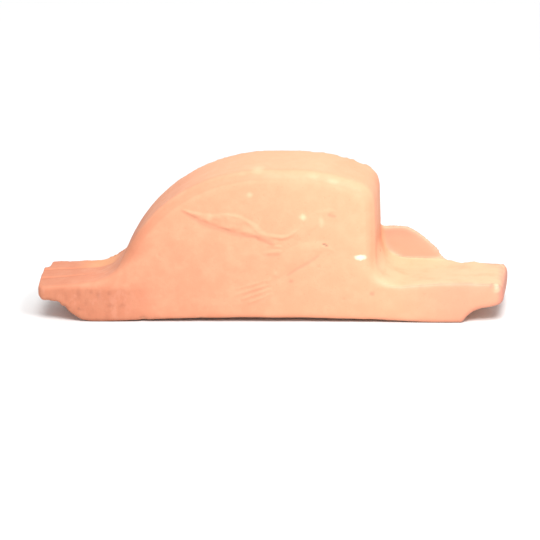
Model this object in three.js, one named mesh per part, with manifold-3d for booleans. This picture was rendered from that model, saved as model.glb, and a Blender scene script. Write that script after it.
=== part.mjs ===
// Bird stop tile: one pressed and fired terracotta piece that stands on the eave board and closes
// the open end of an S-tile roof, so that no bird gets in under the barrel.
// Millimetres, +Z up. The face looks along -Y, the roof lies behind it along +Y, +X runs along the eave.
// The origin is the middle of the footprint, on the plane that the tile stands on.
import * as THREE from "three";
import { mergeVertices } from "three/addons/utils/BufferGeometryUtils.js";
import Module from "manifold-3d";

// Overall sizes
const tileLength = 287; // end to end along the eave, at the back
const bodyDepth = 50; // from the face to the back
const crownHeight = 95; // from the eave board to the top of the barrel
const draft = 1; // the face is this much smaller than the back round the barrel
const endDraft = 2; // and this much at each end
const edgeRound = 6.5; // soft arris of the face round the barrel
const leftSeatRound = 3; // the same along the left seat
const rightSeatRound = 1.2; // and along the right one, which is trimmed crisper
const endArris = 4; // and down both ends
const baseRound = 1.8; // smaller arris along the foot
const leastRound = 0.8; // corners of the outline are never sharper than this

// Barrel, drawn at the back
const barrelRadius = 98.5; // the long left slope
const crownRadius = 107; // the flatter run to the right of the top
const crownStart = -0.5; // where the left slope reaches the top
const crownFlat = 16; // level run between the two
const shoulderRadius = 14.5; // between the crown and the upright cheek
const cheekX = 66; // the upright right side, which the next tile's edge passes
const footRadius = 21; // hollow from the left slope down to the left seat
const cheekFootRadius = 13; // hollow from the cheek down to the right seat, at the face
const cheekFootGrowth = 6; // and this much wider at the back

// Seats that the pans lie on, and the lips at both ends
const leftSeatHeight = 24.5;
const rightSeatHeight = 24;
const leftEndRound = 2; // upper corner of the left end
const rightEndRound = 5; // the right one is fuller
const lipRound = 3; // lower corner of each end
const lipHeight = 13; // underside of the lip at its end
const lipRoot = 10.5; // underside of the lip at the cove
const coveRadius = 18; // weep cove under each lip
const baseLength = 234; // foot between the two coves
const wornCorner = 9; // the left corner of the foot is rubbed round
const footPad = 20; // level stretch at each end of the foot
const baseBow = 2.8; // the foot rises this much between its pads

// Two shallow steps pressed into the left seat. They fade out towards the barrel.
const stepRise = 1; // height of a step at the end of the tile
const stepEdges = [38, 23]; // how far back each step begins, the higher one first
const stepReach = 34; // length of a step
const stripShort = 4; // the strip behind both steps stops this far short of the end

// Lug behind the right seat, under the edge of the next tile
const lugHeight = 47.5;
const lugReach = 105.5; // its right side at seat height
const lugRadius = 47;
const lugCentreHeight = 4;
const lugDepth = 11; // how far it stands out behind the body
const lugRoot = 1; // how far it reaches into the body
const lugFoot = 4; // its underside clears the eave board
const lugDraft = 4; // it narrows this much towards its back
const lugRound = 1.5;
const lugFillet = 4.5; // hollow between the seat and the lug

// Hollow in the back, which the pressing plunger leaves
const wall = 12;
const frontWall = 13;
const floorThickness = 14;
const hollowRound = 7;

// Low relief of a flying bird on the face
const birdSpan = 92; // from wing tip to beak
const birdX = 0; // middle of the bird's span
const birdHeight = 46; // its middle above the eave board
const birdRise = 2; // how far the breast stands out
const reliefCell = 1.15; // size of the relief's facets
const reliefSink = 0.35; // the lowest edge of the relief is lost in the face

const arcSteps = { long: 22, medium: 12, short: 6, corner: 4 };
const wasm = await Module();
wasm.setup();

const arc = (x, z, radius, from, to, steps, clockwise = false) =>
  new THREE.EllipseCurve(x, z, radius, radius, from, to, clockwise).getPoints(steps);

// How far a rounded arris of this radius draws the outline in, at a depth behind the face.
function arrisInset(radius, depth) {
  const left = Math.max(0, radius - depth);
  return radius - Math.sqrt(radius * radius - left * left);
}

// Centre of the arc that joins the crown to an upright side.
function shoulderCentre(side, radius, crown) {
  const x = side - radius;
  const crownX = crownStart + crownFlat;
  const reach = Math.sqrt((crown - radius) ** 2 - (x - crownX) ** 2);
  return { x, z: crownHeight - crownRadius + reach };
}

// The barrel's line from an upright side over the crown to an angle on the left slope.
function barrelLine(inset, side, radius, endAngle) {
  const crown = crownRadius - inset;
  const barrel = barrelRadius - inset;
  const crownX = crownStart + crownFlat;
  const shoulder = shoulderCentre(side, radius, crown);
  const crownZ = crownHeight - crownRadius;
  const turn = Math.atan2(shoulder.z - crownZ, shoulder.x - crownX);
  return [
    ...arc(shoulder.x, shoulder.z, radius, 0, turn, arcSteps.short),
    ...arc(crownX, crownZ, crown, turn, Math.PI / 2, arcSteps.medium).slice(1),
    ...arc(crownStart, crownHeight - barrelRadius, barrel, Math.PI / 2, endAngle, arcSteps.long),
  ];
}

// The cove under a lip, from the foot up to the lip, for the right-hand end.
function coveLine(lift) {
  const centreZ = lipRoot - coveRadius;
  const centreX = baseLength / 2 + Math.sqrt(coveRadius ** 2 - centreZ ** 2);
  const radius = coveRadius + lift;
  const start = Math.PI - Math.asin((lift - centreZ) / radius);
  return arc(centreX, centreZ, radius, start, Math.PI / 2, arcSteps.short, true);
}

// The right-hand end, from the lip's underside up to the seat. Its corners close in with the arris.
function endLine(end, seat, corner, lift, closing) {
  const low = lipHeight + lift;
  const lip = Math.max(leastRound, lipRound - closing);
  const top = Math.max(leastRound, corner - closing);
  return [
    ...arc(end - lip, low + lip, lip, -Math.PI / 2, 0, arcSteps.corner),
    ...arc(end - top, seat - top, top, 0, Math.PI / 2, arcSteps.corner),
  ];
}

const mirrored = (points) => points.map((p) => new THREE.Vector2(-p.x, p.y)).reverse();

// Outline of the body at one depth, anticlockwise as the face is seen.
function bodyOutline(depth) {
  const taper = draft * (1 - depth / bodyDepth);
  const round = arrisInset(edgeRound, depth);
  const lift = arrisInset(baseRound, depth);
  const closing = arrisInset(endArris, depth);
  const inset = taper + round;
  const end = tileLength / 2 - endDraft * (1 - depth / bodyDepth) - closing;
  const rightSeat = rightSeatHeight - arrisInset(rightSeatRound, depth);
  const leftSeat = leftSeatHeight - arrisInset(leftSeatRound, depth);
  const cheek = cheekX - inset;

  const pad = baseLength / 2 - footPad;
  const foot = new THREE.QuadraticBezierCurve(
    new THREE.Vector2(-pad, lift),
    new THREE.Vector2(0, lift + 2 * baseBow),
    new THREE.Vector2(pad, lift),
  ).getPoints(arcSteps.medium);

  const cove = coveLine(lift);
  const leftCove = mirrored(cove).slice(0, -2);
  const worn = new THREE.QuadraticBezierCurve(
    leftCove.pop(),
    new THREE.Vector2(-baseLength / 2, lift),
    new THREE.Vector2(-baseLength / 2 + wornCorner, lift),
  ).getPoints(arcSteps.corner);

  const cheekFoot = cheekFootRadius + (cheekFootGrowth * depth) / bodyDepth;
  const rightHollow = arc(
    cheek + cheekFoot,
    rightSeat + cheekFoot,
    cheekFoot,
    -Math.PI / 2,
    -Math.PI,
    arcSteps.short,
    true,
  );

  const slopeFoot = footRadius + round;
  const barrelZ = crownHeight - barrelRadius;
  const footZ = leftSeat + slopeFoot;
  const footSpan = barrelRadius - inset + slopeFoot;
  const footX = crownStart - Math.sqrt(footSpan ** 2 - (footZ - barrelZ) ** 2);
  const meet = Math.atan2(footZ - barrelZ, footX - crownStart);
  const leftHollow = arc(
    footX,
    footZ,
    slopeFoot,
    meet - Math.PI,
    -Math.PI / 2,
    arcSteps.short,
    true,
  ).slice(1);

  return [
    ...foot,
    ...cove,
    ...endLine(end, rightSeat, rightEndRound, lift, closing),
    ...rightHollow,
    ...barrelLine(inset, cheek, shoulderRadius - round / 2, meet),
    ...leftHollow,
    ...mirrored(endLine(end, leftSeat, leftEndRound, lift, closing)),
    ...leftCove,
    ...worn,
  ];
}

// Outline of the hollow at one depth. It narrows towards the front wall.
function hollowOutline(depth) {
  const inside = depth - frontWall;
  const inset = draft * (1 - depth / bodyDepth) + wall + arrisInset(hollowRound, inside) * 0.6;
  const side = cheekX - inset;
  const low = floorThickness + inset - wall;
  const barrelZ = crownHeight - barrelRadius;
  const slope = barrelRadius - inset;
  const lowAngle = Math.PI - Math.asin((low + hollowRound - barrelZ) / slope);
  const slopeEnd = new THREE.Vector2(
    crownStart + slope * Math.cos(lowAngle),
    barrelZ + slope * Math.sin(lowAngle),
  );
  const leftCorner = new THREE.QuadraticBezierCurve(
    slopeEnd,
    new THREE.Vector2(slopeEnd.x - 1, low),
    new THREE.Vector2(slopeEnd.x + hollowRound, low),
  ).getPoints(arcSteps.corner).slice(1);
  const rightCorner = arc(
    side - hollowRound,
    low + hollowRound,
    hollowRound,
    -Math.PI / 2,
    0,
    arcSteps.corner,
  );
  return [...leftCorner, ...rightCorner, ...barrelLine(inset, side, hollowRound, lowAngle)];
}

// Joins outlines at several depths into one closed surface. Each has the same number of points.
function loft(sections) {
  const rings = sections.map(({ outline, depth }) =>
    outline.map((p) => new THREE.Vector3(p.x, depth, p.y)),
  );
  const count = rings[0].length;
  const positions = rings.flat().flatMap((p) => [p.x, p.y, p.z]);
  const index = [];
  for (let ring = 0; ring + 1 < rings.length; ring++) {
    for (let i = 0; i < count; i++) {
      const next = (i + 1) % count;
      const a = ring * count + i;
      const b = ring * count + next;
      index.push(a, a + count, b + count, a, b + count, b);
    }
  }
  const last = (rings.length - 1) * count;
  const cap = (outline) => THREE.ShapeUtils.triangulateShape(outline, []);
  for (const [a, b, c] of cap(sections[0].outline)) index.push(a, b, c);
  for (const [a, b, c] of cap(sections.at(-1).outline)) index.push(last + a, last + c, last + b);
  const geometry = new THREE.BufferGeometry();
  geometry.setAttribute("position", new THREE.Float32BufferAttribute(positions, 3));
  geometry.setIndex(index);
  return geometry;
}

// A closed geometry as a solid that can be joined and cut.
function solid(geometry) {
  const bare = geometry.clone();
  bare.deleteAttribute("normal");
  bare.deleteAttribute("uv");
  const merged = mergeVertices(bare, 1e-4);
  return new wasm.Manifold(
    new wasm.Mesh({
      numProp: 3,
      vertProperties: merged.attributes.position.array,
      triVerts: new Uint32Array(merged.index.array),
    }),
  );
}

// A flat shape drawn in X and Z, extruded from one depth to another.
function slab(shape, front, back) {
  const depth = back - front;
  const geometry = new THREE.ExtrudeGeometry(shape, { depth, bevelEnabled: false });
  return geometry.rotateX(Math.PI / 2).translate(0, back, 0);
}

// Depths of the sections that turn a rounded edge of this radius.
const roundDepths = (radius) =>
  Array.from({ length: arcSteps.short }, (_, i) => {
    const angle = (i / arcSteps.short) * (Math.PI / 2);
    return radius * (1 - Math.cos(angle));
  });

function body() {
  const depths = [...roundDepths(edgeRound), edgeRound, bodyDepth];
  return solid(loft(depths.map((depth) => ({ depth, outline: bodyOutline(depth) }))));
}

function hollow() {
  const depths = [...roundDepths(hollowRound).map((d) => d + frontWall), frontWall + hollowRound];
  depths.push(bodyDepth);
  const sections = depths.map((depth) => ({ depth, outline: hollowOutline(depth) }));
  sections.push({ depth: bodyDepth + lugDepth, outline: hollowOutline(bodyDepth) });
  return solid(loft(sections));
}

// What a step takes off the left seat, as far back as its edge. Its floor slopes down to the end.
function seatStep(level, edge) {
  const right = -tileLength / 2 + stepReach;
  const left = right - 2 * stepReach;
  const shape = new THREE.Shape();
  shape.moveTo(right, leftSeatHeight);
  shape.lineTo(right, crownHeight / 2);
  shape.lineTo(left, crownHeight / 2);
  shape.lineTo(left, leftSeatHeight - 2 * level * stepRise);
  shape.closePath();
  return solid(slab(shape, -edgeRound, edge));
}

// What is missing from the end of the strip behind the steps.
function stripEnd() {
  const length = 2 * stripShort;
  const depth = bodyDepth + lugDepth;
  const block = new THREE.BoxGeometry(length, depth, crownHeight);
  return solid(block.translate(-tileLength / 2, stepEdges[0] + depth / 2, crownHeight / 2));
}

// Outline of the lug, drawn in by its draft.
function lugOutline(inset) {
  const left = cheekX - wall / 2 + inset;
  const right = lugReach - inset;
  const radius = lugRadius - inset;
  const rise = rightSeatHeight - lugCentreHeight;
  const centreX = lugReach - Math.sqrt(lugRadius ** 2 - rise ** 2);
  const from = Math.acos((right - centreX) / radius);
  const to = Math.asin((lugHeight - inset - lugCentreHeight) / radius);
  return [
    new THREE.Vector2(left, lugFoot + inset),
    new THREE.Vector2(right, lugFoot + inset),
    ...arc(centreX, lugCentreHeight, radius, from, to, arcSteps.medium),
    new THREE.Vector2(left, lugHeight - inset),
  ];
}

function lug() {
  const back = bodyDepth + lugDepth;
  const insets = [
    [bodyDepth - lugRoot, 0],
    [back - lugRound, lugDraft],
    [back, lugDraft + lugRound],
  ];
  return solid(loft(insets.map(([depth, inset]) => ({ depth, outline: lugOutline(inset) }))));
}

// The hollow corner between the seat and the lug, drawn across the tile and run along it.
function lugCorner() {
  const shape = new THREE.Shape();
  shape.moveTo(bodyDepth - lugFillet, rightSeatHeight - lugRoot);
  shape.lineTo(bodyDepth + lugRoot, rightSeatHeight - lugRoot);
  shape.lineTo(bodyDepth + lugRoot, rightSeatHeight + lugFillet);
  shape.lineTo(bodyDepth, rightSeatHeight + lugFillet);
  const centre = [bodyDepth - lugFillet, rightSeatHeight + lugFillet];
  shape.absarc(...centre, lugFillet, 0, -Math.PI / 2, true);
  shape.closePath();
  const run = new THREE.ExtrudeGeometry(shape, {
    depth: lugReach - lugFillet - cheekX,
    bevelEnabled: false,
    curveSegments: arcSteps.short,
  });
  const across = new THREE.Matrix4().makeBasis(
    new THREE.Vector3(0, 1, 0),
    new THREE.Vector3(0, 0, 1),
    new THREE.Vector3(1, 0, 0),
  );
  return solid(run.applyMatrix4(across).translate(cheekX, 0, 0));
}

// The bird is drawn in hundredths of its span, from its middle: x to the right, z up.
const strokes = [];

// A raised stroke along a curve through three points, from one half-width to another.
function stroke(start, middle, end, startWidth, endWidth, rise) {
  const point = (t) => along([start, middle, end], t);
  const unit = birdSpan / 100;
  const points = Array.from({ length: arcSteps.medium + 1 }, (_, i) => {
    const t = i / arcSteps.medium;
    const [x, z] = point(t);
    const width = unit * THREE.MathUtils.lerp(startWidth, endWidth, t);
    return { x: birdX + x * unit, z: birdHeight + z * unit, width };
  });
  strokes.push({ points, rise: rise * birdRise });
}

// A point along a smooth curve through three points.
function along([a, b, c], t) {
  const mix = (i) => {
    const control = 2 * b[i] - (a[i] + c[i]) / 2;
    return (1 - t) ** 2 * a[i] + 2 * (1 - t) * t * control + t * t * c[i];
  };
  return [mix(0), mix(1)];
}

// Feathers from a line of roots to a line of tips.
function feathers(roots, tips, count, width, rise) {
  for (let i = 0; i < count; i++) {
    const root = along(roots, i / (count - 1));
    const tip = along(tips, i / (count - 1));
    const middle = [(root[0] + tip[0]) / 2, (root[1] + tip[1]) / 2];
    stroke(root, middle, tip, width, width * 0.7, rise);
  }
}

function drawBird() {
  // Wing to the left: inner feathers, outer feathers, then the ridge along its front.
  feathers([[9, 6], [-4, 10], [-14, 19]], [[6, 0], [-8, 6.5], [-22, 11]], 6, 3.2, 0.42);
  feathers([[-14, 20], [-25, 22], [-40, 24]], [[-24, 13.5], [-36, 17.5], [-52, 25.5]], 6, 2.8, 0.45);
  stroke([20, 11], [2, 8.5], [-14, 21.5], 3.6, 3, 0.62);
  stroke([-14, 21.5], [-25, 23], [-53, 26.5], 3, 1.2, 0.6);

  // Wing to the right, seen from its edge.
  feathers([[21, 11], [25, 20], [30, 31]], [[36, 10], [44, 20], [36, 36]], 5, 3.4, 0.4);
  stroke([20, 10], [24, 20], [31, 38], 3.6, 1.6, 0.6);

  // Tail
  feathers([[0, -20], [3, -22], [6, -24]], [[-24, -30], [-18, -36.5], [-3, -36]], 5, 3, 0.45);

  // Rump, body, breast, head and beak
  stroke([2, -21], [6, -17], [10, -12], 4.5, 6.5, 0.6);
  stroke([9, -13], [16, -5], [25, 1], 6, 9, 0.85);
  stroke([18, 0], [25, 2], [32, 1], 9, 6.5, 1);
  stroke([31, 1], [35, 1.5], [38, 0.5], 6.2, 5, 0.9);
  stroke([41, -0.5], [44, -1.5], [46, -3], 2.6, 1.2, 0.55);
}
drawBird();

// How far the relief stands out of the face at a point.
function reliefRise(x, z) {
  let most = 0;
  for (const { points, rise } of strokes) {
    for (const p of points) {
      const share = ((x - p.x) ** 2 + (z - p.z) ** 2) / (p.width * p.width);
      if (share < 1) most = Math.max(most, rise * (1 - share));
    }
  }
  return most;
}

// A slab whose front is drawn out to the relief. Its flat parts stay inside the face.
function birdRelief() {
  const width = birdSpan * 1.06;
  const height = birdSpan * 0.86;
  const thickness = frontWall / 2;
  const columns = Math.round(width / reliefCell);
  const rows = Math.round(height / reliefCell);
  const geometry = new THREE.BoxGeometry(width, thickness, height, columns, 1, rows);
  geometry.translate(birdX, thickness / 2 + reliefSink, birdHeight);
  const position = geometry.attributes.position;
  for (let i = 0; i < position.count; i++) {
    if (position.getY(i) > thickness / 2) continue;
    const rise = reliefRise(position.getX(i), position.getZ(i));
    position.setY(i, reliefSink - rise * (1 + reliefSink / birdRise));
  }
  const face = bodyOutline(0);
  const trim = [-birdRise - 1, frontWall].map((depth) => ({ depth, outline: face }));
  return solid(geometry).intersect(solid(loft(trim)));
}

function makeTile() {
  let made = body().add(lug()).add(lugCorner()).subtract(hollow());
  stepEdges.forEach((edge, level) => {
    made = made.subtract(seatStep(level + 1, edge));
  });
  return made.subtract(stripEnd()).add(birdRelief());
}

// A finished solid as a geometry, with its own triangles.
function geometryOf(made) {
  const mesh = made.getMesh();
  const geometry = new THREE.BufferGeometry();
  geometry.setAttribute("position", new THREE.Float32BufferAttribute(mesh.vertProperties, 3));
  geometry.setIndex(new THREE.Uint32BufferAttribute(mesh.triVerts, 1));
  geometry.computeVertexNormals();
  return geometry;
}

const terracotta = new THREE.MeshStandardMaterial({
  color: 0xe09a70,
  roughness: 0.85,
  metalness: 0,
});

const tile = new THREE.Mesh(geometryOf(makeTile()), terracotta);
tile.name = "bird_stop_tile";
tile.geometry.computeBoundingBox();
const { min, max } = tile.geometry.boundingBox;
tile.position.set(-(min.x + max.x) / 2, -(min.y + max.y) / 2, -min.z);

const group = new THREE.Group();
group.add(tile);

export default group;
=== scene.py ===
import math

import bmesh
import bpy
import numpy as np
from mathutils import Matrix, Vector, noise


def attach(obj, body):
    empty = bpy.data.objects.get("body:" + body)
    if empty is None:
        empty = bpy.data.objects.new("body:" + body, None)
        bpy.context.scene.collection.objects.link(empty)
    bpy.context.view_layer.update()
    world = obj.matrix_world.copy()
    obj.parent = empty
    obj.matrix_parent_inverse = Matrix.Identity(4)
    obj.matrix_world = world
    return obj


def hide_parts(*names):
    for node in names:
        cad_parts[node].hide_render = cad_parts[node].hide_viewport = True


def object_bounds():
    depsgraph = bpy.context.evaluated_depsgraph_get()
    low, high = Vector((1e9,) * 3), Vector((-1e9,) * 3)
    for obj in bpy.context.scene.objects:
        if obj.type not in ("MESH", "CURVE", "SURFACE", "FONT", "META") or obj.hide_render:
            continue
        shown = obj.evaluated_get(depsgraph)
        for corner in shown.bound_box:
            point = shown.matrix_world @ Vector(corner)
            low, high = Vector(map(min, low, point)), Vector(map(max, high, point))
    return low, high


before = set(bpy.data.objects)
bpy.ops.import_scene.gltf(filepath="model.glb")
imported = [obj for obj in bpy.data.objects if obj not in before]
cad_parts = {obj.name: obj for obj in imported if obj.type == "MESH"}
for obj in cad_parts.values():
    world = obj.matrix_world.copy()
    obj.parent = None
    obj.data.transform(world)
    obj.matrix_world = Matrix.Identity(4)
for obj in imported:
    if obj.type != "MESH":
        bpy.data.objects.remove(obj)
cadLow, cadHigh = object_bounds()
print("frame loaded")

mm = 0.001

# The camera stands where the photograph was taken from, a little to the right and above.
viewpoint = {
    "azimuth": 6.0,
    "elevation": 17.0,
    "roll": -1.65,
    "distance": 1.5,
    "target": (0.0017, -0.0295, 0.0334),
    "lens": 166.7,
    "sensor": 36.0,
}


def direction(azimuth, elevation):
    turn, rise = math.radians(azimuth), math.radians(elevation)
    return Vector((
        math.sin(turn) * math.cos(rise),
        -math.cos(turn) * math.cos(rise),
        math.sin(rise),
    ))


def makeCamera(look):
    data = bpy.data.cameras.new("camera")
    data.lens = look["lens"]
    data.sensor_width = look["sensor"]
    camera = bpy.data.objects.new("camera", data)
    bpy.context.collection.objects.link(camera)
    back = direction(look["azimuth"], look["elevation"])
    aim = (-back).to_track_quat("-Z", "Y").to_matrix().to_4x4()
    roll = Matrix.Rotation(math.radians(look["roll"]), 4, "Z")
    place = Matrix.Translation(Vector(look["target"]) + back * look["distance"])
    camera.matrix_world = place @ aim @ roll
    bpy.context.scene.camera = camera


makeCamera(viewpoint)

# Soft studio light: a broad sun from the upper right, a lamp near the right shoulder, a white room.
studio = {
    "sunAzimuth": 10.0,
    "sunElevation": 60.0,
    "sunStrength": 2.0,
    "sunSpread": 30.0,
    "sunDistance": 2.0,
    "lampAzimuth": 30.0,
    "lampElevation": 44.0,
    "lampDistance": 0.48,
    "lampSize": 0.2,
    "lampPower": 1.9,
    "room": 0.86,
    "floorTone": 0.7,
    "floorRoughness": 0.9,
    "floorSize": 8.0,
}


def hangLight(data, azimuth, elevation, distance):
    light = bpy.data.objects.new(data.name, data)
    bpy.context.collection.objects.link(light)
    away = direction(azimuth, elevation)
    light.location = Vector(viewpoint["target"]) + away * distance
    light.rotation_euler = away.to_track_quat("Z", "Y").to_euler()


def makeStudio(look):
    sun = bpy.data.lights.new("sun", "SUN")
    sun.energy = look["sunStrength"]
    sun.angle = math.radians(look["sunSpread"])
    hangLight(sun, look["sunAzimuth"], look["sunElevation"], look["sunDistance"])
    lamp = bpy.data.lights.new("lamp", "AREA")
    lamp.shape = "DISK"
    lamp.size = look["lampSize"]
    lamp.energy = look["lampPower"]
    hangLight(lamp, look["lampAzimuth"], look["lampElevation"], look["lampDistance"])

    world = bpy.data.worlds.new("room")
    world.use_nodes = True
    sky = world.node_tree.nodes["Background"]
    sky.inputs["Color"].default_value = (1, 1, 1, 1)
    sky.inputs["Strength"].default_value = look["room"]
    bpy.context.scene.world = world
    bpy.context.scene.view_settings.view_transform = "Standard"

    shape = bmesh.new()
    bmesh.ops.create_grid(shape, x_segments=1, y_segments=1, size=look["floorSize"] / 2)
    mesh = bpy.data.meshes.new("floor")
    shape.to_mesh(mesh)
    shape.free()
    floor = bpy.data.objects.new("floor", mesh)
    bpy.context.collection.objects.link(floor)
    paper = bpy.data.materials.new("pale floor")
    paper.use_nodes = True
    coat = paper.node_tree.nodes["Principled BSDF"]
    coat.inputs["Base Color"].default_value = (*[look["floorTone"]] * 3, 1)
    coat.inputs["Roughness"].default_value = look["floorRoughness"]
    mesh.materials.append(paper)


makeStudio(studio)
print("camera, lights and floor made")


# Shader maths: a socket that takes Python's operators, each of which adds its Math node.
class Signal:
    def __init__(self, tree, socket=None):
        self.tree = tree
        self.socket = socket

    # Adds a node of any kind. Its settings are made first, then its sockets get values or links.
    def add(self, kind, settings=None, inputs=None, output=0):
        node = self.tree.nodes.new("ShaderNode" + kind)
        for name, value in (settings or {}).items():
            if name == "stops":
                for (at, tone), stop in zip(value, node.color_ramp.elements):
                    stop.position = at
                    stop.color = (*tone, 1)
            else:
                setattr(node, name, value)
        for key, value in (inputs or {}).items():
            if isinstance(value, Signal):
                self.tree.links.new(value.socket, node.inputs[key])
            else:
                node.inputs[key].default_value = value
        return Signal(self.tree, node.outputs[output])

    def maths(self, operation, *values):
        return self.add("Math", {"operation": operation}, dict(enumerate(values)))

    def vectors(self, operation, *values, output=0):
        return self.add("VectorMath", {"operation": operation}, dict(enumerate(values)), output)

    def __add__(self, other):
        return self.maths("ADD", self, other)

    def __sub__(self, other):
        return self.maths("SUBTRACT", self, other)

    def __rsub__(self, other):
        return self.maths("SUBTRACT", other, self)

    def __mul__(self, other):
        return self.maths("MULTIPLY", self, other)

    __radd__ = __add__
    __rmul__ = __mul__

    def most(self, other):
        return self.maths("MAXIMUM", self, other)

    # 0 below low and 1 above high, or the other way round where low is the higher of the two.
    def between(self, low, high):
        settings = {"interpolation_type": "SMOOTHSTEP", "clamp": True}
        flip = low > high
        ends = {1: min(low, high), 2: max(low, high), 3: float(flip), 4: float(not flip)}
        return self.add("MapRange", settings, {0: self, **ends})

    # Cloudy noise over this place, from 0 to 1. The size of a cloud is in metres.
    def clouds(self, size, detail=3.0, roughness=0.5):
        inputs = {"Vector": self, "Scale": 1 / size, "Detail": detail, "Roughness": roughness}
        return self.add("TexNoise", {}, inputs)

    # 1 inside an ellipsoid, with a soft edge.
    def spot(self, centre, radii, soft):
        apart = self.vectors("SUBTRACT", self, centre)
        share = self.vectors("DIVIDE", apart, radii)
        return self.vectors("LENGTH", share, output="Value").between(1, 1 - soft)

    def blend(self, mask, other, mode="MIX"):
        settings = {"data_type": "RGBA", "blend_type": mode}
        return self.add("Mix", settings, {0: mask, 6: self, 7: other}, 2)


# The tile's surface. Sizes are in metres, in the part's own frame.
reliefDepth = 2 * mm  # the relief stands this far out of the face
bodyDepth = 50 * mm
faceY = cadLow.y + reliefDepth
backY = faceY + bodyDepth
tile = {
    "voxel": 1.35 * mm,
    "smoothing": 2,
    "smoothFactor": 0.5,
    "weld": 0.001 * mm,
    "fineDepth": 6 * mm,  # the skin is finer this far behind the face
    "fineX": 60 * mm,  # and on the seats, beyond this x and above this z
    "fineZ": 15 * mm,
    "fineLevel": 0.5,
    "lumpSize": 24 * mm,
    "lumpHeight": 0.28 * mm,
    "lumpSeed": 3.7,
    "rippleSize": 7 * mm,
    "rippleHeight": 0.1 * mm,
    "rippleSeed": 9.1,
    "standing": (0, 2 * mm),  # the foot stays flat on the floor
    "dragStretch": (0.05, 1, 0.05),
    "dragSize": 1.5 * mm,
    "dragDepth": 0.08 * mm,
    "dragSeed": 14.2,
    "dragLevel": (0.5, 0.8),
    "dragFront": 8 * mm,
    "rimReach": (3.4 * mm, 0.4 * mm),
    "rimSide": (0.9, 0.6),
    "rimSize": 4.5 * mm,
    "rimMean": 0.25,
    "rimUneven": 0.75,
    "rimDepth": 0.75 * mm,
    "rimSeed": 31.9,
    "coveX": (-108 * mm, -116 * mm),
    "coveZ": (16 * mm, 11 * mm),
    "coveSize": 5 * mm,
    "coveHeight": 0.5 * mm,
    "coveSeed": 44.4,
    "rollStart": 50 * mm,
    "rollReach": 14 * mm,
    "rollDepth": 2.4 * mm,
    "rollZ": (24 * mm, 40 * mm),
    "rollY": (14 * mm, 2 * mm),
    "arrisFlat": (0.998, 0.95),  # the arris faces forward less than the face, and more than the top
    "arrisSteep": (0.35, 0.8),
    "arrisY": (11 * mm, 7 * mm),
    "arrisZ": (30 * mm, 42 * mm),
    "levelFrom": (0.1, 0.8),
    "grooveGrimeAndShade": 0.35,
}


def evaluated(piece):
    graph = bpy.context.evaluated_depsgraph_get()
    return bpy.data.meshes.new_from_object(piece.evaluated_get(graph))


def smoothStep(low, high, value):
    share = np.clip((value - low) / (high - low), 0, 1)
    return share * share * (3 - 2 * share)


def cloud(points, size, octaves, seed):
    places = points / size + seed
    return np.array([noise.fractal(Vector(p), 0.9, 2.0, octaves) for p in places])


# An even skin over the CAD solid, without its coarse relief, finer where the photograph looks.
def makeSkin(look):
    shape = bmesh.new()
    shape.from_mesh(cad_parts["bird_stop_tile"].data)
    bmesh.ops.remove_doubles(shape, verts=shape.verts, dist=look["weld"])
    for vert in shape.verts:
        vert.co.y = max(vert.co.y, faceY)
    mesh = bpy.data.meshes.new("tile")
    shape.to_mesh(mesh)
    shape.free()
    piece = bpy.data.objects.new("terracotta_bird_stop", mesh)
    bpy.context.collection.objects.link(piece)

    voxels = piece.modifiers.new("voxels", "REMESH")
    voxels.mode = "VOXEL"
    voxels.voxel_size = look["voxel"]
    piece.data = evaluated(piece)
    piece.modifiers.clear()
    print("skin has", len(piece.data.polygons), "faces")

    shape = bmesh.new()
    shape.from_mesh(piece.data)
    for _ in range(look["smoothing"]):
        bmesh.ops.smooth_vert(
            shape, verts=shape.verts, factor=look["smoothFactor"],
            use_axis_x=True, use_axis_y=True, use_axis_z=True,
        )

    def shown(face):
        middle = face.calc_center_median()
        onFace = middle.y < faceY + look["fineDepth"]
        outside = middle.z > look["fineZ"] and abs(middle.x) > look["fineX"]
        onSeat = face.normal.z > look["fineLevel"] and outside
        return onFace or onSeat

    edges = list({edge for face in shape.faces if shown(face) for edge in face.edges})
    bmesh.ops.subdivide_edges(shape, edges=edges, cuts=1, use_grid_fill=True)
    wide = [face for face in shape.faces if len(face.verts) > 4]
    bmesh.ops.triangulate(shape, faces=wide)
    shape.to_mesh(piece.data)
    shape.free()
    print("finer skin has", sum(len(f.vertices) - 2 for f in piece.data.polygons), "triangles")
    return piece


skin = makeSkin(tile)


def readVectors(mesh, name):
    values = np.zeros(len(mesh.vertices) * 3)
    mesh.vertices.foreach_get(name, values)
    return values.reshape(-1, 3)


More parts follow.
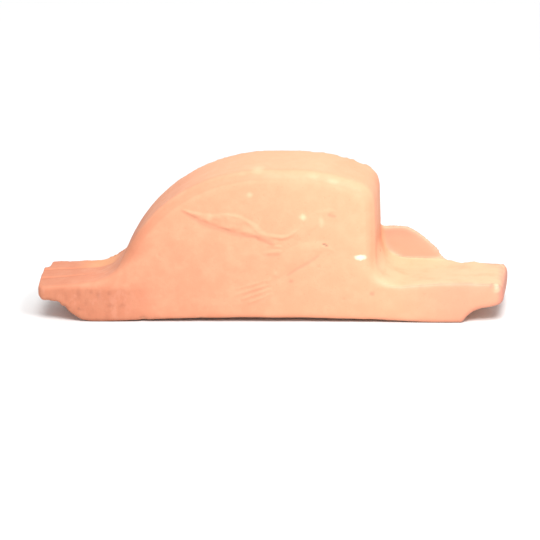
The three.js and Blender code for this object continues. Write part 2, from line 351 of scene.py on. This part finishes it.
# The seats: two pressed steps on the left one, a wavy trimmed rear edge on the right one.
seats = {
    "facingUp": (0.4, 0.8),
    "leftHeight": 24.5 * mm,
    "leftX": (-107 * mm, -111 * mm),
    "leftZ": (20 * mm, 21.5 * mm),
    "leftY": (-27.5 * mm, -25 * mm),
    "leftNear": (1.7 * mm, 1.1 * mm),
    "stepEnd": -109.5 * mm,  # the steps fade out here
    "stepReach": 34 * mm,
    "stepRise": 1 * mm,
    "stepEdges": (4.6 * mm, -10.4 * mm),
    "stepSoft": 0.9 * mm,
    "grooveDepth": 0.5 * mm,
    "grooveWidth": 1.1 * mm,
    "grooveX": (-102 * mm, -122 * mm),
    "grooveZ": (19 * mm, 21 * mm),
    "riseX": (-143, -139, -126, -115, -107, -102, -96, -86),
    "riseZ": (-0.9, -0.9, -0.5, 0.2, 1.2, 1.9, 1.7, 0),
    "riseFront": 0.35,  # share of the rise at the face
    "riseY": (-20 * mm, 15 * mm),
    "riseAbove": (19 * mm, 22 * mm),
    "riseBelow": (36 * mm, 27 * mm),
    "footDrop": 3.4 * mm,  # the slope's foot stays this much lower towards the rear
    "footHeight": 3.5 * mm,
    "footY": (-14 * mm, 6 * mm),
    "footX": (-78 * mm, -86 * mm),
    "endX": (-130 * mm, -141 * mm),
    "endTurn": 1.1 * mm,  # the left end's front corner is set back by this
    "endTurnY": -8 * mm,
    "endUnder": 1 * mm,
    "endUnderZ": (17 * mm, 11 * mm),
    "endFlare": 0.3 * mm,
    "endFlareY": (-20 * mm, -8 * mm),
    "lipX": -131.5 * mm,
    "lipReach": 9 * mm,
    "lipLift": 2.6 * mm,
    "lipZ": (20 * mm, 12 * mm),
    "lipDropX": (118, 126, 134, 139, 143),
    "lipDropZ": (0, 0.6, 0.9, 2.2, 3.1),
    "lipDropBelow": (17 * mm, 11 * mm),
    "bulge": 0.9 * mm,  # the right end stands out by this under its lip
    "bulgeX": (140 * mm, 142 * mm),
    "bulgeZ": (18 * mm, 12 * mm),
    "rightX": (67 * mm, 70 * mm),
    "rightZ": (36 * mm, 31 * mm),
    "frontX": (70, 80, 90, 104, 122, 134, 143),
    "frontZ": (0, -0.4, 0.4, 1.4, 1.5, 0.9, 0.2),
    "frontAbove": (15 * mm, 22 * mm),
    "waveX": (68, 72, 78.5, 86, 95, 104, 109, 115.5, 119, 123, 130, 137.6, 143),
    "waveZ": (0, 0.6, 2.2, 2.4, 1.9, 1.4, 1.3, -0.3, 0.1, 0.5, -0.8, -1.3, -2.6),
    "waveAbove": (19 * mm, 21 * mm),
    "waveY": 2 * mm,
}


# 1 along the foot of each step, fading out towards the barrel.
def stepGrooves(points, look):
    x, y, z = points.T
    onSeat = smoothStep(*look["grooveZ"], z) * smoothStep(*look["grooveX"], x)
    found = np.zeros(len(x))
    for edge in look["stepEdges"]:
        apart = np.abs(y - edge + look["stepSoft"]) / look["grooveWidth"]
        found = np.maximum(found, np.clip(1 - apart, 0, 1) * onSeat)
    return found


def shapeSeats(points, normals, look):
    x, y, z = points.T
    upward = smoothStep(*look["facingUp"], normals[:, 2])

    # Left seat: the steps drop towards the face, and a groove lies at the foot of each.
    left = upward * smoothStep(*look["leftX"], x) * smoothStep(*look["leftZ"], z)
    fade = np.clip((look["stepEnd"] - x) / look["stepReach"], 0, 1)
    level = np.full(len(x), look["leftHeight"])
    soft = look["stepSoft"]
    for edge in look["stepEdges"]:
        level -= look["stepRise"] * fade * smoothStep(edge + soft, edge - soft, y)
    onFlat = smoothStep(*look["leftY"], y) * left
    near = smoothStep(*look["leftNear"], np.abs(z - level))
    points[:, 2] += (level - z) * onFlat * near
    points[:, 2] -= look["grooveDepth"] * stepGrooves(points, look) * upward

    # The seat climbs a little towards the barrel, most of all along its rear edge.
    climb = np.interp(x / mm, look["riseX"], look["riseZ"]) * mm
    share = look["riseFront"] + (1 - look["riseFront"]) * smoothStep(*look["riseY"], y)
    points[:, 2] += climb * share * smoothStep(*look["riseAbove"], z) * smoothStep(*look["riseBelow"], z)

    above = np.clip((z - look["leftHeight"]) / look["footHeight"], 0, None)
    drop = look["footDrop"] * above * np.exp(-above) * smoothStep(*look["footY"], y)
    points[:, 2] -= drop * upward * smoothStep(*look["footX"], x)

    # The underside of the left lip stays level further in, before it drops into the cove.
    reach = np.clip(1 - ((x - look["lipX"]) / look["lipReach"]) ** 2, 0, 1) ** 2
    points[:, 2] += look["lipLift"] * reach * smoothStep(*look["lipZ"], z)

    # The right lip is thicker towards its end.
    lowered = np.interp(x / mm, look["lipDropX"], look["lipDropZ"]) * mm
    points[:, 2] -= lowered * smoothStep(*look["lipDropBelow"], z)
    points[:, 0] += look["bulge"] * smoothStep(*look["bulgeX"], x) * smoothStep(*look["bulgeZ"], z)

    # The left end isn't square: it runs back to the left.
    atEnd = smoothStep(*look["endX"], x)
    turn = smoothStep(look["endTurnY"], faceY, y) * look["endTurn"]
    under = look["endUnder"] * smoothStep(*look["endUnderZ"], z)
    points[:, 0] += atEnd * (turn + under - look["endFlare"] * smoothStep(*look["endFlareY"], y))

    # Right seat: its rear edge waves up and down, and its front edge climbs to the right.
    right = smoothStep(*look["rightZ"], z) * smoothStep(*look["rightX"], x)
    wave = np.interp(x / mm, look["waveX"], look["waveZ"]) * mm
    towardsRear = smoothStep(look["waveY"], backY, y)
    points[:, 2] += wave * right * upward * smoothStep(*look["waveAbove"], z) * towardsRear
    front = np.interp(x / mm, look["frontX"], look["frontZ"]) * mm
    points[:, 2] += front * right * smoothStep(*look["frontAbove"], z) * smoothStep(0, faceY, y)


# The relief is drawn with soft-edged strokes: x, z and half-width at each knot, in millimetres.
bird = {
    "edge": 1.5,  # width of a stroke's rounded edge
    "steps": 8,  # points between two knots
    "relief": [  # strokes, their height and how soft their edge is
        ("wing", 0.75, 1.4), ("longFeathers", 0.84, 1.3), ("shortFeathers", 0.5, 1.9), ("body", 0.3, 1.6),
        ("body", 0.9, 4.2), ("head", 0.6, 3), ("beak", 0.25, 1.5), ("raisedWing", 0.35, 1.8),
        ("bead", 1.1, 1.9), ("tail", 0.42, 1.6),
    ],
    "reliefReach": 0.4,  # only what lies this close to the face is carved
    "wornX": (12, 4),  # the feathers are worn unevenly, the body evenly
    "wornSize": 8,
    "wornSeed": 21.3,
    "wornMean": 0.85,
    "wornBody": 0.15,
    "wornFeathers": 0.6,
    "wornLimits": (0.25, 1.15),
    "eye": (35.1, 49.1, 1.7, 1.1),
    "eyeDepth": 0.4,
    "shadeLineReach": 0.6,
    "shadeLineEdge": (-1.1, 0.4),
    "wing": [[(-50, 70.8, 0.4), (-45, 69, 1.3), (-38, 66.5, 2.4), (-30, 64.5, 3.6), (-22, 63, 5),
             (-15, 61.3, 5.2), (-8, 58.5, 4), (-2, 54.6, 2.8), (4, 51.5, 3)]],
    "bead": [[(-49, 71, 0.3), (-39, 68.2, 0.7), (-31, 67.2, 1), (-21, 67.1, 1.7), (-15.4, 65.6, 1.9),
             (-9.8, 62, 2), (-5, 57.4, 1.9), (-0.7, 54.9, 1.8), (5.3, 53.7, 1.8), (13, 54.3, 1.5),
             (20, 58.8, 1.0), (24, 62.3, 0.5)]],
    # Lines of painted shade under the relief, and two dots of real grime
    "grime": [(0.55, [(-50, 70, 0.4), (-45, 67, 0.9), (-38.9, 63.3, 1.2), (-32.4, 60.8, 1.3),
                     (-26.4, 58.9, 1.3), (-20.5, 56.5, 1.1), (-13.3, 54.6, 0.8), (-6, 54, 0.5)]),
              (0.5, [(-6, 54.3, 1.4), (0, 51.8, 1.7), (3, 50, 1)]),
              (0.2, [(-1.5, 42.6, 0.6), (3, 42.3, 0.9), (7, 43.2, 0.6)]),
              (0.55, [(12.5, 30.4, 0.3), (18, 34, 0.5), (23.5, 37, 0.5), (30.8, 42, 0.4)]),
              (0.7, [(38, 67.6, 0.6), (41.2, 66.8, 0.5)]),
              (0.8, [(14, 26.4, 0.6), (14.5, 26.5, 0.6)]), (0.8, [(62.4, 18.6, 0.8), (63, 18.4, 0.8)]),
              (0.2, [(-3, 22, 0.5), (-14, 18.2, 0.6)])],
    "longFeathers": [((-14, 62, 1.8), (-47, 69.3, 0.5)), ((-12, 59.4, 1.8), (-40, 65, 0.8)),
                     ((-10, 57.6, 1.7), (-29, 61, 1.1))],
    "shortFeathers": [((-2, 56, 1.8), (-21, 58, 1.1)), ((2, 53.4, 1.6), (-12.5, 55.6, 1.1)),
                      ((6, 51, 1.6), (-4.5, 52.8, 1)), ((8, 47.8, 1.5), (0, 48.6, 0.8)),
                      ((7.5, 44.8, 2), (-1.6, 43.8, 1.5))],
    "body": [[(30, 47, 4), (22, 44, 6.2), (15, 40, 6.6), (9, 35, 5), (4, 30, 3.4), (1, 26.5, 2.6)]],
    "head": [[(29, 47.4, 4), (33, 48, 3.7), (34.6, 47.8, 3)]],
    "beak": [[(35, 47.6, 2.2), (38, 46.3, 1.4), (40.5, 44.8, 0.6)]],
    "raisedWing": [[(19, 55, 3.2), (25, 61, 4.2), (31, 66, 4.2), (37, 69.4, 2.1), (41, 70.2, 0.8)]],
    "tail": [((0.6, 27.2, 1.2), (-19, 21.2, 0.8)), ((2, 24.4, 1.4), (-19.6, 17.4, 1.1)),
             ((1.4, 21.2, 1.4), (-15.6, 14.9, 1.2)), ((2.2, 18.2, 1.2), (-11.6, 12.6, 1))],
}


def along(knots, steps):
    knots = np.array(knots, float)
    padded = np.vstack([2 * knots[0] - knots[1], knots, 2 * knots[-1] - knots[-2]])
    points = []
    for a, b, c, d in zip(padded, padded[1:], padded[2:], padded[3:]):
        for share in np.arange(steps) / steps:
            points.append(0.5 * (
                2 * b + (c - a) * share + (2 * a - 5 * b + 4 * c - d) * share ** 2
                + (3 * b - a - 3 * c + d) * share ** 3
            ))
    return np.array(points + [knots[-1]])


# How far each place lies inside a stroke's outline.
def insideStroke(places, knots, steps):
    points = along(knots, steps)
    inside = np.full(len(places), -np.inf)
    for start, end in zip(points, points[1:]):
        run = end[:2] - start[:2]
        share = np.clip(((places - start[:2]) @ run) / (run @ run), 0, 1)
        apart = np.linalg.norm(places - start[:2] - share[:, None] * run, axis=1)
        inside = np.maximum(inside, start[2] + share * (end[2] - start[2]) - apart)
    return inside


def drawBird(places, look):
    height = np.zeros(len(places))
    for name, rise, soft in look["relief"]:
        for knots in look[name]:
            inside = insideStroke(places, knots, look["steps"])
            share = np.clip(inside / (look["edge"] * soft), 0, 1)
            height = np.maximum(height, rise * share * (2 - share))
    return height


# Painted shade lies in lines under the wing, the body and the raised wing's tip, with a few dots of grime;
# each stroke has its own strength.
def drawShadeAndGrime(points, look):
    grime = np.zeros(len(points))
    onFace = np.flatnonzero(points[:, 1] < faceY + look["shadeLineReach"] * mm)
    places = points[onFace][:, [0, 2]] / mm
    for strength, knots in look["grime"]:
        share = smoothStep(*look["shadeLineEdge"], insideStroke(places, knots, look["steps"]))
        grime[onFace] = np.maximum(grime[onFace], strength * share)
    return grime


def carveRelief(points, look):
    onFace = np.flatnonzero(points[:, 1] < faceY + look["reliefReach"] * mm)
    places = points[onFace][:, [0, 2]] / mm
    uneven = look["wornBody"] + look["wornFeathers"] * smoothStep(*look["wornX"], places[:, 0])
    worn = uneven * cloud(points[onFace], look["wornSize"] * mm, 3, look["wornSeed"])
    left = np.clip(look["wornMean"] + worn, *look["wornLimits"])
    points[onFace, 1] -= drawBird(places, look) * left * mm
    eyeX, eyeZ, eyeWidth, eyeHeight = look["eye"]
    apart = np.hypot((places[:, 0] - eyeX) / eyeWidth, (places[:, 1] - eyeZ) / eyeHeight)
    points[onFace, 1] += look["eyeDepth"] * mm * np.sqrt(np.clip(1 - apart, 0, 1))


# Knocks and pits: each is a centre, a radius and a depth, in millimetres.
knocks = {
    "chips": [((137.2, -29, 22.6), 3.6, 1.1), ((143, -22, 24), 3, 0.8), ((-76.6, -29.5, 1.2), 3.4, 0.7),
              ((-41.7, -29.5, 1.6), 3, 0.6), ((26, 20.5, 95), 3.4, 1), ((34, 20.5, 93), 3, 0.8),
              ((43, 20.5, 91.5), 3.6, 0.9), ((54, 20.5, 87), 4, 1), ((62.5, 20.5, 82), 3, 0.8),
              ((66, 20.5, 66), 3, 0.7), ((66, 20.5, 55), 3, 0.6), ((-129, -28, 11), 3.2, 0.8),
              ((-124, -28, 9.4), 2.8, 0.7), ((-140, 8, 22), 3, 0.7)],
    "pits": 30,
    "pitRadius": (0.8, 1.6),
    "pitDepth": (0.12, 0.35),
    "pitSeed": 5,
}


def knockClay(points, normals, look):
    def scoop(centre, radius, depth):
        apart = np.linalg.norm(points / mm - np.array(centre), axis=1) / radius
        near = np.flatnonzero(apart < 1)
        dip = depth * (1 - apart[near] ** 2) ** 1.5 * mm
        points[near] -= normals[near] * dip[:, None]

    for centre, radius, depth in look["chips"]:
        scoop(centre, radius, depth)
    draw = np.random.default_rng(look["pitSeed"])
    for at in draw.choice(len(points), look["pits"], replace=False):
        scoop(points[at] / mm, draw.uniform(*look["pitRadius"]), draw.uniform(*look["pitDepth"]))


# The face rolls back a little before it reaches the cheek.
def rollFace(points, look):
    x, y, z = points.T
    share = np.clip((x - look["rollStart"]) / look["rollReach"], 0, 1)
    startY, fullY = look["rollY"]
    onBody = smoothStep(*look["rollZ"], z) * smoothStep(faceY + startY, faceY + fullY, y)
    points[:, 1] += look["rollDepth"] * share ** 2 * onBody


# Slow lumps of pressed clay, drag lines on the cut top and a ragged rear rim.
def pressClay(points, normals, look):
    lumps = cloud(points, look["lumpSize"], 2, look["lumpSeed"]) * look["lumpHeight"]
    ripples = cloud(points, look["rippleSize"], 2, look["rippleSeed"]) * look["rippleHeight"]
    standing = smoothStep(*look["standing"], points[:, 2])
    points += normals * ((lumps + ripples) * standing)[:, None]

    stretched = points * np.array(look["dragStretch"])
    drag = cloud(stretched, look["dragSize"], 2, look["dragSeed"]) * look["dragDepth"]
    cut = smoothStep(*look["dragLevel"], normals[:, 2])
    cut *= smoothStep(faceY, faceY + look["dragFront"], points[:, 1])
    points += normals * (drag * cut)[:, None]

    rimStart, rimFull = look["rimReach"]
    rim = smoothStep(backY - rimStart, backY - rimFull, points[:, 1])
    rim *= smoothStep(*look["rimSide"], np.abs(normals[:, 1])) * standing
    rag = look["rimMean"] + look["rimUneven"] * cloud(points, look["rimSize"], 3, look["rimSeed"])
    points -= normals * (np.clip(rag, 0, 1) * rim * look["rimDepth"])[:, None]

    cove = smoothStep(*look["coveX"], points[:, 0]) * smoothStep(*look["coveZ"], points[:, 2])
    rough = cloud(points, look["coveSize"], 3, look["coveSeed"]) * look["coveHeight"]
    points += normals * (rough * cove * standing)[:, None]


# How sharply the surface bends at each point, as 1 / radius in millimetres: above 0 in a hollow.
def readHollows(mesh, rounds=5):
    points = readVectors(mesh, "co") / mm
    normals = readVectors(mesh, "normal")
    edges = np.zeros(len(mesh.edges) * 2, int)
    mesh.edges.foreach_get("vertices", edges)
    start, end = edges.reshape(-1, 2).T
    count = np.bincount(edges, minlength=len(points)).astype(float)
    square = ((points[start] - points[end]) ** 2).sum(axis=1)
    reach = np.bincount(start, square, len(points)) + np.bincount(end, square, len(points))
    smooth = points.copy()
    for _ in range(rounds):
        total = np.zeros_like(smooth)
        np.add.at(total, start, smooth[end])
        np.add.at(total, end, smooth[start])
        smooth = total / count[:, None]
    return 2 * ((smooth - points) * normals).sum(axis=1) / (rounds * reach / count)


def keepValues(mesh, name, values):
    kept = mesh.attributes.new(name, "FLOAT", "POINT")
    kept.data.foreach_set("value", values)


def shapeTile(piece, look):
    points = readVectors(piece.data, "co")
    normals = readVectors(piece.data, "normal")
    forward = -normals[:, 1]
    rolled = smoothStep(*look["arrisFlat"], forward) * smoothStep(*look["arrisSteep"], forward)
    startY, fullY = look["arrisY"]
    rolled *= smoothStep(faceY + startY, faceY + fullY, points[:, 1])
    shapeSeats(points, normals, seats)
    rollFace(points, look)
    pressClay(points, normals, look)
    knockClay(points, normals, knocks)
    carveRelief(points, bird)
    points = np.clip(points, np.array(cadLow), np.array(cadHigh))
    piece.data.vertices.foreach_set("co", points.ravel())
    piece.data.update()
    piece.data.shade_smooth()
    # The step grooves are darkened with the hollows: grime and painted shade at the foot of each step.
    grooves = stepGrooves(points, seats) * look["grooveGrimeAndShade"]
    keepValues(piece.data, "hollow", readHollows(piece.data) + grooves)
    upward = readVectors(piece.data, "normal")[:, 2]
    keepValues(piece.data, "level", smoothStep(*look["levelFrom"], upward))
    rolled *= smoothStep(*look["arrisZ"], points[:, 2])
    keepValues(piece.data, "rolled", rolled)
    # Painted shade under the relief, with a few grime dots
    keepValues(piece.data, "grime", drawShadeAndGrime(points, bird))


shapeTile(skin, tile)
print("relief and clay shaped")

# Fired clay. Colours are scene-linear, places in millimetres, marks are (x, z, width, height).
clay = {
    "deep": (0.56, 0.207, 0.115),
    "pale": (0.68, 0.315, 0.18),
    "paleDustAndLight": (0.74, 0.40, 0.24),
    "grime": (0.34, 0.14, 0.09),
    "lime": (0.85, 0.66, 0.50),
    "stainAndShade": (0.45, 0.15, 0.077),
    "redClayAndShade": (0.50, 0.19, 0.14),
    "soil": (0.30, 0.095, 0.05),
    "roseAndShade": (0.66, 0.30, 0.205),
    "ochre": (0.74, 0.35, 0.15),
    "chalk": (0.82, 0.50, 0.31),
    "ink": (0.24, 0.15, 0.09),
    "falloffAndFiringSlope": (4.2, 5),  # paler towards the right and the top, per metre
    "falloffAndFiringClouds": (60, 0.5),
    "falloffAndFiringEnds": (-0.45, 1.1),
    "mottleSize": 9,
    "mottleEnds": (0.35, 0.75),
    "fleckSize": 1.3,
    "fleckEnds": (0.62, 0.74),
    "hollowEnds": (0.08, 0.5),  # 1 / radius in millimetres, below 0 on an edge
    "sharpEnds": (-0.12, -0.6),
    "keptEnds": (-0.34, -0.1),
    "trimmedEnds": (-0.06, -0.3),
    "streakSize": 4.5,
    "streakStretch": (1, 1, 0.6),
    "streakPale": (0.5, 0.7),
    "streakDark": (0.48, 0.3),
    "dustSize": 12,
    "dustEnds": (0.1, 0.6),
    "sandSize": 0.75,
    "sandDepth": 0.25,
    "sandStrength": 0.3,
    "roughness": 0.62,
    "roughSand": 0.2,
    "roughMottle": 0.08,
    "tornScale": 420,
    "tornReach": 1.6,
    "markDepth": 9,
    "strength": {
        "mottle": 0.22, "flecks": 0.25, "hollows": 0.5, "sharpEdges": 0.5, "arris": 0.12, "leftArris": 0.18,
        "crown": 0.3, "wing": 0.08, "wingFace": 0.55, "wingEnd": 0.42, "wingCorner": 0.4, "paleStreaks": 0.22,
        "darkStreaks": 0.16, "rightEnd": 0.85, "lug": 0.8, "rightFace": 0.32, "cheek": 0.16, "foot": 0.55,
        "seatDust": 0.75, "heelDust": 0.95, "trimmed": 0.5, "firstStep": 0.5, "blotches": 0.35, "crumbs": 0.4,
        "grime": 0.42, "rubs": 0.4, "blot": 0.8, "eye": 0.9, "patch": 0.9, "chip": 0.35,
    },
    # Windows: along each axis, where one starts and where it is full
    "crown": [("Z", 76, 88), ("Y", -24, -18), ("X", 48, 30)],
    "leftArch": [("X", 14, -14)],
    "wing": [("X", -62, -98), ("Z", 34, 20)],
    "wingFace": [("Z", 23, 19.5)],
    "wingEnd": [("X", -96, -126)],
    "rightEnd": [("X", 136.5, 140.5)],
    "lug": [("Y", 18, 19.4), ("Y", 27, 22), ("X", 66, 70)],
    "rightFace": [("X", 68, 120), ("Y", -25, -27.5), ("Z", 30, 25)],
    "cheek": [("X", 61, 65), ("Y", -18, 14), ("Z", 38, 44)],
    "foot": [("X", -66, -84), ("Z", 76, 48), ("Z", 36, 46)],
    "rightSeat": [("X", 60, 67), ("Z", 62, 52)],
    "trimmed": [("X", 62, 68), ("Z", 38, 32)],
    "firstStep": [("Y", 3, 5.4), ("X", -126, -106), ("X", -86, -94), ("Z", 30, 27)],
    # Single spots: centre and radii
    "heelLightSpot": ((66.5, -7, 35), (9, 23, 13)),
    "crumbs": [((66, 3, 36.2), (1.6, 1.6, 1.6)), ((72, 17, 31.4), (1.7, 1.7, 1.7))],
    # A rubbed pale patch on the crown's front, painted also as its highlight
    "blot": ((-4.5, -21, 94), (6, 10, 4)),
    "chip": ((136.6, -27, 22.4), (2.6, 3, 2.4)),
    "paleSpots": [(22.4, 66.4, 3.2, 3, 0.8), (-9, 80.1, 2.8, 2.6, 0.42), (33.4, 63.2, 2.4, 4.8, 0.34),
                  (-33.4, 66.5, 2.7, 2.4, 0.2)],  # with a strength each
    "eye": [(34.5, 49.7, 1.7, 1.1), (35.8, 48.8, 1.7, 1.1)],
    "patch": [(56.2, 41.2, 4.7, 2.2)],
    # The three on the arris are painted highlights as well as rubbed places; the two at the foot are rubbed
    # chips.
    "rubs": [(-14, 93, 4.5, 2.4), (29, 91.6, 7, 2.4), (41, 88, 6, 2.2),
             (-76.6, 2.2, 3, 1.6), (-41.7, 3.8, 3.4, 1.2)],
    "blotches": [(-115.3, 18.3, 2.2, 6), (-107.6, 19.3, 1.8, 2.6), (-115.9, 8.4, 2, 1.8),
                 (-103.3, 17.2, 2.4, 4), (-96.6, 18.5, 2.2, 2.2), (-96.6, 10.6, 3.4, 2.2),
                 (-89, 11, 3.2, 2.2)],
}


def fireClay(piece, look):
    material = bpy.data.materials.new("terracotta")
    material.use_nodes = True
    tree = material.node_tree
    coat = tree.nodes["Principled BSDF"]
    place = Signal(tree).add("TexCoord", output="Object")
    split = place.add("SeparateXYZ", {}, {0: place}).socket.node.outputs
    axes = {name: Signal(tree, split[name]) for name in "XYZ"}

    def attribute(name):
        return place.add("Attribute", {"attribute_name": name}, output="Fac")

    def tint(name):
        return (*look[name], 1)

    def window(name):
        mask = None
        for axis, start, full in look[name]:
            found = axes[axis].between(start * mm, full * mm)
            mask = found if mask is None else mask * found
        return mask

    strength = look["strength"]
    hollow = attribute("hollow")
    level = attribute("level")

    # Firing leaves the tile deeper at the low left and paler at the upper right; the same gradient is also
    # painted light, standing in for the light falling off away from the right.
    slopeX, slopeZ = look["falloffAndFiringSlope"]
    cloudSize, cloudShare = look["falloffAndFiringClouds"]
    falloffAndFiring = axes["X"] * slopeX + axes["Z"] * slopeZ + place.clouds(cloudSize * mm) * cloudShare
    falloffAndFiring = falloffAndFiring.between(*look["falloffAndFiringEnds"])
    colour = place.add("Mix", {"data_type": "RGBA"}, {0: falloffAndFiring, 6: tint("deep"), 7: tint("pale")}, 2)

    # Every later layer lies over the ones before it.
    def lay(mask, share, name):
        nonlocal colour
        colour = colour.blend(mask * share, tint(name))

    mottle = place.clouds(look["mottleSize"] * mm, 4, 0.6).between(*look["mottleEnds"])
    flecks = place.clouds(look["fleckSize"] * mm, 2, 0.7).between(*look["fleckEnds"])
    lay(mottle, strength["mottle"], "paleDustAndLight")
    lay(flecks, strength["flecks"], "stainAndShade")

    # Darker in hollows, as grime and painted shade; redder on sharp edges and on the front arris, most along
    # the left of the arch, as painted shade that dims their highlights; paler on the crown's top
    lay(hollow.between(*look["hollowEnds"]), strength["hollows"], "grime")
    lay(hollow.between(*look["sharpEnds"]), strength["sharpEdges"], "redClayAndShade")
    lay(attribute("rolled"), strength["arris"] + window("leftArch") * strength["leftArris"], "stainAndShade")
    lay(window("crown"), strength["crown"], "paleDustAndLight")

    # Marks are placed on the face, with edges that a fine noise pulls about.
    pull = place.add("TexNoise", {}, {"Vector": place, "Scale": look["tornScale"], "Detail": 2}, "Color")
    pull = place.vectors("SUBTRACT", pull, (0.5, 0.5, 0.5))
    pull = place.vectors("MULTIPLY", pull, (look["tornReach"] * mm,) * 3)
    torn = place.vectors("ADD", place, pull)

    def spot(centre, radii, soft):
        return torn.spot([value * mm for value in centre], [value * mm for value in radii], soft)

    def marks(several, soft):
        mask = None
        for x, z, width, height in several:
            found = spot((x, faceY / mm, z), (width, look["markDepth"], height), soft)
            mask = found if mask is None else mask.most(found)
        return mask

    # The left wing is soiled with streaks, and darkened all over as painted shade where the light falls off
    # to the lower left, most of all on its face.
    wing = window("wing")
    wingFace = window("wingFace")
    wingEnd = window("wingEnd")
    stretched = place.vectors("MULTIPLY", place, look["streakStretch"])
    streaks = stretched.clouds(look["streakSize"] * mm, 3, 0.55)
    soiledAndShaded = wingFace * (strength["wingFace"] - wingEnd * strength["wingCorner"])
    lay(wing, strength["wing"] + soiledAndShaded + wingEnd * strength["wingEnd"], "stainAndShade")
    lay(wing * wingFace * streaks.between(*look["streakPale"]), strength["paleStreaks"], "roseAndShade")
    lay(wing * wingFace * streaks.between(*look["streakDark"]), strength["darkStreaks"], "soil")

    # Painted shade: redder and darker at the right end, on the lug behind the cheek, on the right wing's
    # face, on the cheek and at the foot of the left slope
    lay(window("rightEnd"), strength["rightEnd"], "redClayAndShade")
    lay(window("lug"), strength["lug"], "roseAndShade")
    lay(window("rightFace"), strength["rightFace"], "redClayAndShade")
    lay(window("cheek"), strength["cheek"], "grime")
    lay(window("foot"), strength["foot"], "stainAndShade")

    # The up-facing right seat is paler, partly dust and partly painted light; the cheek's heel is paler as
    # painted light; neither reaches the trimmed edges.
    dustAndLight = level * window("rightSeat") * place.clouds(look["dustSize"] * mm).between(*look["dustEnds"])
    heelLightSpot = spot(*look["heelLightSpot"], 0.6)
    dustAndLight = (dustAndLight * strength["seatDust"]).most(heelLightSpot * strength["heelDust"])
    lay(dustAndLight, hollow.between(*look["keptEnds"]), "paleDustAndLight")
    # The trimmed front edge of the right seat is darker, as painted shade that dims its highlight.
    lay(hollow.between(*look["trimmedEnds"]) * window("trimmed"), strength["trimmed"], "redClayAndShade")
    lay(level * window("firstStep"), strength["firstStep"], "ochre")

    # Blotches, crumbs, lines of painted shade and grime, rubbed places and painted highlights on the arris,
    # pale spots, the eye, the patch and the chipped corner
    lay(marks(look["blotches"], 1), strength["blotches"], "soil")
    first, second = look["crumbs"]
    lay(spot(*first, 0.5).most(spot(*second, 0.5)), strength["crumbs"], "grime")
    lay(attribute("grime"), strength["grime"], "grime")
    lay(marks(look["rubs"], 1), strength["rubs"], "paleDustAndLight")
    lay(spot(*look["blot"], 1), strength["blot"], "paleDustAndLight")
    for *mark, share in look["paleSpots"]:
        lay(marks([mark], 1), share, "chalk")
    lay(marks(look["eye"], 1), strength["eye"], "ink")
    lay(marks(look["patch"], 0.6), strength["patch"], "lime")
    lay(spot(*look["chip"], 0.8), strength["chip"], "lime")

    sand = place.clouds(look["sandSize"] * mm, 4, 0.6)
    relief = {"Strength": look["sandStrength"], "Distance": look["sandDepth"] * mm, "Height": sand}
    bump = place.add("Bump", {}, relief)
    rough = look["roughness"] + sand * look["roughSand"] - mottle * look["roughMottle"]
    tree.links.new(colour.socket, coat.inputs["Base Color"])
    tree.links.new(rough.socket, coat.inputs["Roughness"])
    tree.links.new(bump.socket, coat.inputs["Normal"])
    piece.data.materials.clear()
    piece.data.materials.append(material)


fireClay(skin, clay)
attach(skin, "root")
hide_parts("bird_stop_tile")
print("clay fired")
